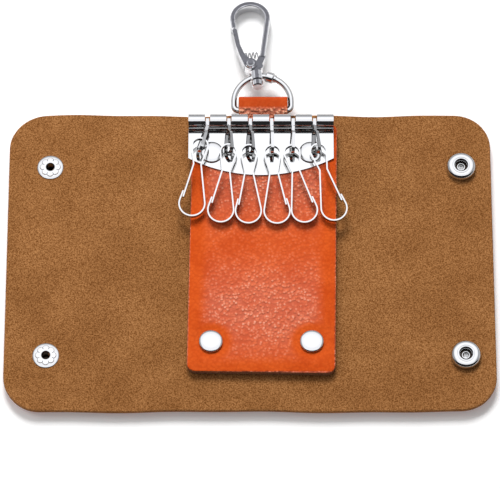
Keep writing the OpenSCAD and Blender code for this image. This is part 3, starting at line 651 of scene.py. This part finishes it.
def tab_sheen(shader, place):
    """Where the tab's grain stands up and shines, 0 to 1: not within some 5 mm of its edges
    or round its rivets, where the leather is pressed smooth, and most across two broad
    bands, a little above the rivets and under the key hooks. A thin line along its cut edge
    takes the painted highlight too."""
    along = shader.xyz(place)
    up = shader.math("SUBTRACT", along["Y"], TAB_Y)
    lean = shader.math("MULTIPLY_ADD", up, -np.sin(TAB_SKEW), -TAB_X)
    side = shader.math("ABSOLUTE", shader.math("ADD", along["X"], lean))
    inward = shader.math("SUBTRACT", TAB_HALF, side)
    above_foot = shader.math("SUBTRACT", up, TAB_BOTTOM - TAB_Y)
    by_rivet = shader.length(shader.math("SUBTRACT", side, (RIVET_X[1] - RIVET_X[0]) / 2),
                             shader.math("SUBTRACT", along["Y"], RIVET_Y))
    flat = shader.step(inward, *SMOOTH_SIDE)
    foot = shader.step(above_foot, *SMOOTH_FOOT)
    clear = shader.step(shader.math("SUBTRACT", by_rivet, RIVET_R), *SMOOTH_BY_RIVET)
    turn = shader.math("MULTIPLY_ADD", up, 2 * np.pi / BAND_PERIOD, BAND_PHASE)
    bands = shader.math("MULTIPLY_ADD", shader.math("COSINE", turn), BAND_SWING, BAND_MIDDLE)
    whole = shader.math("MULTIPLY", shader.math("MULTIPLY", flat, foot),
                        shader.math("MULTIPLY", clear, bands))
    # Painted highlight: a thin pale line along the cut edge.
    edge_highlight = shader.step(shader.math("MINIMUM", inward, above_foot), *EDGE_HIGHLIGHT)
    return shader.math("MAXIMUM", whole, edge_highlight)


def grain_leather(name, sheen_of, deep, bright, highlight_colour):
    """Pebbled orange leather that shines, with a painted highlight on its pebble tops, where
    sheen_of says so.
    """
    material, shader, surface = new_material(name)
    place = shader.own_place()
    sheen = sheen_of(shader, place)
    grain = grained(shader, place, sheen, deep, bright, highlight_colour)
    shader.put(surface.inputs["Base Color"], grain["Color"])
    shader.put(surface.inputs["Roughness"], grain["Roughness"])
    shader.put(surface.inputs["Specular IOR Level"],
               shader.math("MULTIPLY_ADD", sheen, SHINE, DULL))
    shader.put(surface.inputs["Normal"], relief_normal(shader, grain["Height"], GRAIN_RELIEF))
    return material


def cut_edge():
    """The raw cut edge: brown fibres, quite dull."""
    material, shader, surface = new_material("raw_edge")
    fibres = speckled(shader, shader.own_place(), EDGE_SCALE, EDGE_PATCH_SCALE)["Fine"]
    shader.put(surface.inputs["Base Color"], shader.blend(fibres, EDGE_DARK, EDGE_LIGHT))
    surface.inputs["Roughness"].default_value = 0.95
    shader.put(surface.inputs["Normal"], relief_normal(shader, fibres, EDGE_RELIEF))
    return material


def dress_leather(piece, leather, cut_faces):
    """Gives a piece of the tab its leather, and the raw edge's material to the faces that
    cut_faces picks by their normals."""
    piece.data.materials.append(leather)
    piece.data.materials.append(raw_edge)
    normals = np.zeros(len(piece.data.polygons) * 3, np.float32)
    piece.data.polygons.foreach_get("normal", normals)
    cut = cut_faces(normals.reshape(-1, 3))
    piece.data.polygons.foreach_set("material_index", cut.astype(np.int32))
    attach(piece, "back")


tab_grain = grain_leather("tab_grain", tab_sheen, GRAIN_DEEP, GRAIN_BRIGHT, GRAIN_PAINTED_HIGHLIGHT)
raw_edge = cut_edge()
upper_layer = tab_layer("tab_upper_layer", TAB_TOP - LAYER, TAB_TOP, TAB_CROWN, DIMPLE)
lower_layer = tab_layer("tab_lower_layer", shell_top, TAB_TOP - LAYER, 0.0, 0.0)
for layer in (upper_layer, lower_layer):
    dress_leather(layer, tab_grain, lambda normal: np.abs(normal[:, 2]) < SIDEWAYS_FACE)
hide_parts("key_tab")

# Tab neck
# The tab's narrow neck comes out under the tube of the key bar, goes up over the ring's
# straight bar, folds back round it and goes down into the lower layer.
ring_joint = next(j for j in frame["joints"] if j["name"] == "ring_swing")
RING_X, RING_Y, RING_Z = ring_joint["pos_m"]
TUBE_R = 2.55 * MM
TUBE_Y = bar_high.y - TUBE_R
NECK_X = RING_X + 0.25 * MM
NECK_HALF = 8.49 * MM
NECK_STEP = 1 * MM
NECK_EASE = 0.4 * MM
NECK_SLACK = 2.35 * MM
NECK_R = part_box("key_tab")[1].y - RING_Y - NECK_SLACK
NECK_MID = NECK_R - LAYER / 2
NECK_SKIN = 0.04 * MM
NECK_ROOT = 1.2 * MM
FOOT_BEND = 0.3 * MM
FOOT_RISE = 0.25 * MM
UNDER_BEND = 2 * MM
FOOT_SHARE = 0.72
# The neck is the tab's own leather, painted darker as shade, and its painted highlight near the
# tube is stronger and paler.
NECK_SHINE = 1.8
SHINE_END = (0.6 * MM, -1.4 * MM)
NECK_SIDE_FACE = 0.6
NECK_SHADED_DEEP = srgb(178, 68, 26)
NECK_SHADED_BRIGHT = srgb(190, 77, 32)
NECK_PAINTED_HIGHLIGHT = srgb(255, 184, 146)


def neck_sheen(shader, place):
    """Where the neck's grain shines and takes its painted highlight: near the tube, up to the
    ring's bar, and not past it.
    """
    along = shader.xyz(place)["Y"]
    near = shader.step(along, RING_Y + SHINE_END[0], RING_Y + SHINE_END[1])
    return shader.math("MULTIPLY", near, NECK_SHINE)


def neck_arc(middle_y, start, stop, count):
    """Points (y, z) on the circle of radius NECK_MID about (middle_y, RING_Z)."""
    return [(middle_y + NECK_MID * np.cos(a), RING_Z + NECK_MID * np.sin(a))
            for a in np.linspace(start, stop, count)]


def neck_path():
    """Centreline of the neck's strip as (y, z): level under the tube, then straight up to
    the circle round the ring's bar that it touches, over it, round the far half circle and
    back level into the lower layer."""
    foot_y, foot_z = TUBE_Y + FOOT_SHARE * TUBE_R, TAB_TOP - LAYER / 2
    way_y, way_z = RING_Y - foot_y, RING_Z - foot_z
    climb = np.arctan2(way_z, way_y) + np.arcsin(NECK_MID / np.hypot(way_y, way_z))
    over = [(TAB_SHOULDER - NECK_ROOT, foot_z), (TAB_SHOULDER, foot_z),
            (foot_y - FOOT_BEND, foot_z), (foot_y + FOOT_BEND, foot_z + FOOT_RISE * climb)]
    round_bar = neck_arc(RING_Y, np.pi / 2 + climb, np.pi / 2, 6)
    round_fold = neck_arc(RING_Y + NECK_SLACK, np.pi / 2, -np.pi / 2, 16)
    under_z = shell_top + LAYER / 2
    under = [(RING_Y, RING_Z - NECK_MID), (RING_Y - UNDER_BEND, under_z),
             (TAB_SHOULDER - NECK_ROOT, under_z)]
    return np.array(over + round_bar + round_fold + under)


def neck_strip(name):
    """The neck: a rounded strip section (width by thickness) carried along neck_path, its
    sides set square to the path in the Y-Z plane."""
    path = neck_path()
    way = np.gradient(path, axis=0)
    way /= np.linalg.norm(way, axis=1)[:, None]
    out = np.stack([-way[:, 1], way[:, 0]], axis=-1)
    across = edge_steps(2 * NECK_HALF, NECK_EASE, NECK_STEP) - NECK_HALF
    rise = edge_rise(NECK_HALF - np.abs(across), NECK_EASE)
    side = np.concatenate([across, across[::-1][1:-1]])
    half = np.concatenate([rise, -rise[::-1][1:-1]]) * (LAYER / 2 - NECK_SKIN)
    yz = path[:, None, :] + out[:, None, :] * half[None, :, None]
    x = NECK_X + np.broadcast_to(side, yz.shape[:2])
    mesh = closed_loops(name, np.concatenate([x[..., None], yz], axis=-1))
    finish_mesh(mesh)
    return new_object(name, mesh)


neck_grain = grain_leather("neck_grain", neck_sheen, NECK_SHADED_DEEP, NECK_SHADED_BRIGHT, NECK_PAINTED_HIGHLIGHT)
neck = neck_strip("tab_neck")
dress_leather(neck, neck_grain, lambda normal: np.abs(normal[:, 0]) > NECK_SIDE_FACE)

# Key bar
# A plate of steel strip whose upper edge is rolled into a slotted tube, with a rod in it. It
# is nickel plated and polished, as the caps on the backs of the four rivets are.
NICKEL = srgb(198, 198, 197)
NICKEL_POLISH = (0.05, 160.0, 0.02 * MM)
CLOUDED = 0.06


def plated(name, colour, roughness, ripple, relief):
    """Polished plating: faint cloudy roughness, and a slight unevenness of the surface of so
    many ripples a metre and so much relief."""
    material, shader, surface = new_material(name)
    cloud = shader.add("ShaderNodeTexNoise", {
        "Vector": shader.own_place(), "Scale": ripple, "Detail": 3.0}).outputs[0]
    shader.put(surface.inputs["Roughness"],
               shader.math("MULTIPLY_ADD", cloud, CLOUDED, roughness))
    surface.inputs["Base Color"].default_value = colour
    surface.inputs["Metallic"].default_value = 1.0
    shader.put(surface.inputs["Normal"], relief_normal(shader, cloud, relief, 0.5))
    return material


def dress_node(name, material):
    """Gives a CAD node's own mesh a material."""
    piece = frame["nodes"][name]
    piece.data.materials.clear()
    piece.data.materials.append(material)


nickel = plated("polished_nickel", NICKEL, *NICKEL_POLISH)
for name in ("key_bar", "bar_rod", "bar_rivet_backs", "tab_rivet_backs"):
    dress_node(name, nickel)

# Rivet caps
# Each rivet of the tab and of the key bar has a pressed cap, almost flat on top with a steep
# rolled rim, on a post that goes down through the leather into the cap on its back.
RIVET_H = 0.9 * MM
POST_R = 1.28 * MM


def crown(rim, flat, low, high, power=2.4, count=20):
    """Quarter of a superellipse as (r, z), from (rim, low) up and inwards to (flat, high)."""
    turn = np.linspace(0, np.pi / 2, count)
    r = flat + (rim - flat) * np.cos(turn) ** (2 / power)
    return np.stack([r, low + (high - low) * np.sin(turn) ** (2 / power)], axis=-1)


def revolved(name, profile, centres, ripple=None, around=128):
    """Turns a closed profile of (r, z) points round an upright axis at each centre; ripple
    gives a rise to add at each radius and angle, as a function of both."""
    angle = np.linspace(0, 2 * np.pi, around, endpoint=False)
    vertices, quads = [], []
    for centre in centres:
        r, turn = np.meshgrid(profile[:, 0], angle, indexing="ij")
        z = np.broadcast_to(profile[:, 1:], r.shape)
        rise = ripple(r, turn) * (z > 0) if ripple else 0
        ring = np.stack([centre[0] + r * np.cos(turn), centre[1] + r * np.sin(turn),
                         centre[2] + z + rise], axis=-1)
        index = len(vertices) * r.size + np.arange(r.size).reshape(r.shape)
        next_r, next_a = np.roll(index, -1, axis=0), np.roll(index, -1, axis=1)
        both = np.roll(next_r, -1, axis=1)
        quads.append(np.stack([index, next_r, both, next_a], axis=-1).reshape(-1, 4))
        vertices.append(ring.reshape(-1, 3))
    mesh = bpy.data.meshes.new(name)
    mesh.from_pydata(np.concatenate(vertices).tolist(), [], np.concatenate(quads).tolist())
    finish_mesh(mesh)
    return new_object(name, mesh)


def dress_snap(piece, material, body, node):
    """Finishes a rivet or snap piece that stands for a CAD node and rides on a body."""
    piece.data.materials.append(material)
    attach(piece, body)
    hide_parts(node)


cap_floors = {"tab_rivets": TAB_TOP, "bar_rivets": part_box("bar_rivets")[1].z - RIVET_H}
for name, floor in cap_floors.items():
    low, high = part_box(name)
    top = crown(RIVET_R, 0, 0, RIVET_H, power=3.2, count=28)
    stem = np.array([(0, low.z - floor), (POST_R, low.z - floor), (POST_R, 0)])
    middle_y = (low.y + high.y) / 2
    caps = revolved(name + "_capped", np.concatenate([top, stem]),
                    [(x, middle_y, floor) for x in (low.x + RIVET_R, high.x - RIVET_R)])
    dress_snap(caps, nickel, "back", name)

# Links and key hooks
# Six links of plated strip hang on the rod through the tube's slots, each an eye that opens
# into a pear-shaped ring. Each ring holds a key hook, one strip of spring steel bent on edge.
for number in range(1, 7):
    dress_node(f"link_{number}", nickel)
    dress_node(f"key_hook_{number}", nickel)

# Ring and snap hook
# A D-ring of plated wire, whose ends meet in a sleeve, carries a swivel snap hook. The hook
# and its gate are cast, with level faces painted dark grey as a painted reflection and their
# other faces painted bright as painted highlights. A spring shuts the gate.
# Painted light: level faces take a dark painted reflection, other faces a bright painted
# highlight.
CAST_FACE_REFLECTION = srgb(99, 99, 103)
CAST_EDGE_HIGHLIGHT = srgb(240, 240, 242)
CAST_POLISH = (0.1, 260.0, 0.4 * MM)
LEVEL_FACE = (0.9, 0.98)
SPRING_COLOUR = srgb(190, 190, 190)
SPRING_POLISH = (0.18, 900.0, 0.01 * MM)


def cast_metal():
    """Plated casting with painted light: level faces painted dark as a reflection, the rest
    bright as a highlight.
    """
    material = plated("polished_casting", CAST_FACE_REFLECTION, *CAST_POLISH)
    shader = Shader(material.node_tree)
    facing = shader.xyz(shader.add("ShaderNodeTexCoord").outputs["Normal"])
    # Painted reflection on level faces, painted highlight elsewhere.
    level = shader.step(shader.math("ABSOLUTE", facing["Z"]), *LEVEL_FACE)
    shader.put(shader.nodes["Principled BSDF"].inputs["Base Color"],
               shader.blend(level, CAST_EDGE_HIGHLIGHT, CAST_FACE_REFLECTION))
    return material


casting = cast_metal()
spring_steel = plated("spring_steel", SPRING_COLOUR, *SPRING_POLISH)
for name in ("d_ring", "ring_sleeve"):
    dress_node(name, nickel)
for name in ("swivel_barrel", "snap_body", "snap_gate", "gate_rivet"):
    dress_node(name, casting)
dress_node("gate_spring", spring_steel)

# Eyelets and studs
# The left flap's snaps are eyelets: a tube through the leather whose end is split into petals
# and rolled outwards over a thin dished flange. The tube holds the stud on the outside.
PETALS = 8
PETAL_RISE = 0.22 * MM
PETAL_NOTCH, PETAL_REACH = 2.95 * MM, 0.55 * MM
PETAL_EDGE = 0.1 * MM
SLIT_START, SLIT_FADE, SLIT_SHARE = 2.2 * MM, 0.3 * MM, 0.09
FLANGE_R, FLANGE_LOW, FLANGE_HIGH = 2.1 * MM, 0.08 * MM, 0.52 * MM
ROLL_R, ROLL_Z = 1.75 * MM, 0.3 * MM
ROLL_WIDTH, ROLL_HEIGHT = 0.33 * MM, 0.22 * MM
EYELET_BORE, EYELET_TUBE_R, BORE_TOP = 1.42 * MM, 1.7 * MM, 0.2 * MM
EYELET_SEAT = -0.02 * MM
STUD_BORE = 1.8 * MM
STUD_END = 0.25 * MM
# Painted shade for the inside of the snaps' hollows.
HOLLOW_PAINTED_SHADE = srgb(44, 38, 32)


def petal_relief(r, turn):
    """The petals stand 0.22 mm proud, out to a scalloped line 0.5 mm deep at 3.2 mm from the
    axis, and a narrow slit parts each from the next."""
    scallop = np.abs(np.cos(PETALS / 2 * turn))
    border = PETAL_NOTCH + PETAL_REACH * scallop
    inside = np.clip((border - r) / PETAL_EDGE + 0.5, 0, 1)
    slit = np.exp(-(scallop / SLIT_SHARE) ** 2) * np.clip((r - SLIT_START) / SLIT_FADE, 0, 1)
    return PETAL_RISE * inside * (1 - slit)


def shaded_hollow(name, middle_x, places_y, radius, floor, mouth):
    """Nickel painted dark inside two snaps' hollows, as painted shade: within radius of either
    snap's axis, from floor up to mouth."""
    material = plated(name, NICKEL, *NICKEL_POLISH)
    shader = Shader(material.node_tree)
    place = shader.xyz(shader.own_place())
    from_middle = shader.math("ABSOLUTE",
                              shader.math("SUBTRACT", place["Y"], sum(places_y) / 2))
    out = shader.length(shader.math("SUBTRACT", place["X"], middle_x),
                        shader.math("SUBTRACT", from_middle, (places_y[1] - places_y[0]) / 2))
    within = shader.math("MULTIPLY", shader.math("LESS_THAN", out, radius),
                         shader.math("GREATER_THAN", place["Z"], floor))
    # Painted shade: the hollow takes the dark colour.
    hollow = shader.math("MULTIPLY", within, shader.math("LESS_THAN", place["Z"], mouth))
    shader.put(shader.nodes["Principled BSDF"].inputs["Base Color"],
               shader.blend(hollow, NICKEL, HOLLOW_PAINTED_SHADE))
    return material


flange = crown(EYELET_R, FLANGE_R, FLANGE_LOW, FLANGE_HIGH, power=2.0, count=14)
petal_rows = np.linspace(flange[:, 0].max(), FLANGE_R, 48)
petal_rise = np.interp(petal_rows, flange[::-1, 0], flange[::-1, 1])
turn = np.linspace(np.pi / 2, np.pi, 6)
roll = np.stack([ROLL_R + ROLL_WIDTH * np.cos(turn), ROLL_Z + ROLL_HEIGHT * np.sin(turn)],
                axis=-1)
tube_end = eyelet_low.z - shell_top
tube = np.array([(EYELET_BORE, BORE_TOP), (EYELET_BORE, tube_end), (EYELET_TUBE_R, tube_end),
                 (EYELET_TUBE_R, EYELET_SEAT), (EYELET_R, EYELET_SEAT)])
profile = np.concatenate([np.stack([petal_rows, petal_rise], axis=-1), roll, tube])
eyelets = revolved("left_eyelets_rolled", profile,
                   [(EYELET_X, y, shell_top) for y in EYELET_Y], petal_relief, 256)
dress_snap(eyelets, nickel, "left_flap_body", "left_eyelets")
dress_node("left_studs", shaded_hollow("stud_nickel", EYELET_X, EYELET_Y, STUD_BORE, STUD_END,
                                     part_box("left_studs")[1].z))

# Sockets
# The right flap's snaps are sockets: a pressed ring with a rounded shoulder, a groove and a
# deep bore, in which a ring spring lies. The hollow post of the cap below holds each one.
SOCKET_H = socket_high.z - shell_top
SOCKET_BORE = 2.28 * MM
SOCKET_FLOOR = 0.5 * MM
SOCKET_LIP = 0.05 * MM
SOCKET_SHINE = 0.35 * MM
SHOULDER_FLAT, SHOULDER_LOW = 3.3 * MM, 0.55 * MM
LIP_FALL = 0.12 * MM
POST_HOLE_R = 1.16 * MM
SOCKET_FOOT = 0.15 * MM
GROOVE = np.array([(3.0, 0), (2.93, -0.05), (2.87, -0.05), (2.8, 0), (2.45, 0),
                   (2.34, -0.04)]) * MM
shoulder = crown(SOCKET_R, SHOULDER_FLAT, SHOULDER_LOW, SOCKET_H)
bore = np.array([(SOCKET_BORE, SOCKET_H - LIP_FALL), (SOCKET_BORE, SOCKET_FLOOR),
                 (POST_HOLE_R, SOCKET_FLOOR), (POST_HOLE_R, 0), (SOCKET_R - SOCKET_FOOT, 0),
                 (SOCKET_R, SOCKET_FOOT)])
profile = np.concatenate([shoulder, GROOVE + (0, SOCKET_H), bore])
sockets = revolved("right_sockets_pressed", profile,
                   [(SOCKET_X, y, shell_top) for y in SOCKET_Y])
socket_nickel = shaded_hollow("socket_nickel", SOCKET_X, SOCKET_Y, SOCKET_BORE + SOCKET_LIP,
                            shell_top - SOCKET_LIP, socket_high.z - SOCKET_SHINE)
dress_snap(sockets, socket_nickel, "right_flap_body", "right_sockets")
dress_node("socket_springs", spring_steel)

# Snap caps
# Below each socket is a domed cap. Its hollow post comes up through the leather and the
# socket's floor, and its end is rolled outwards over that floor.
cap_low, cap_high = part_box("right_caps")
CAP_R = (cap_high.x - cap_low.x) / 2
POST_OUTER = 1.1 * MM
POST = np.array([(0, -1.4), (1.02, -1.4), (1.02, 0.7), (1.12, 0.82), (1.26, 0.84),
                 (1.4, 0.78), (1.46, 0.66), (1.4, 0.53), (1.1, 0.5)]) * MM
shell_floor = shell_low.z - shell_top
under = crown(CAP_R, 0, 0, shell_low.z - cap_low.z, power=2.0, count=24) * (1, -1)
profile = np.concatenate([under + (0, shell_floor), POST, [(POST_OUTER, shell_floor)]])
caps = revolved("right_caps_riveted", profile, [(SOCKET_X, y, shell_top) for y in SOCKET_Y])
dress_snap(caps, nickel, "right_flap_body", "right_caps")
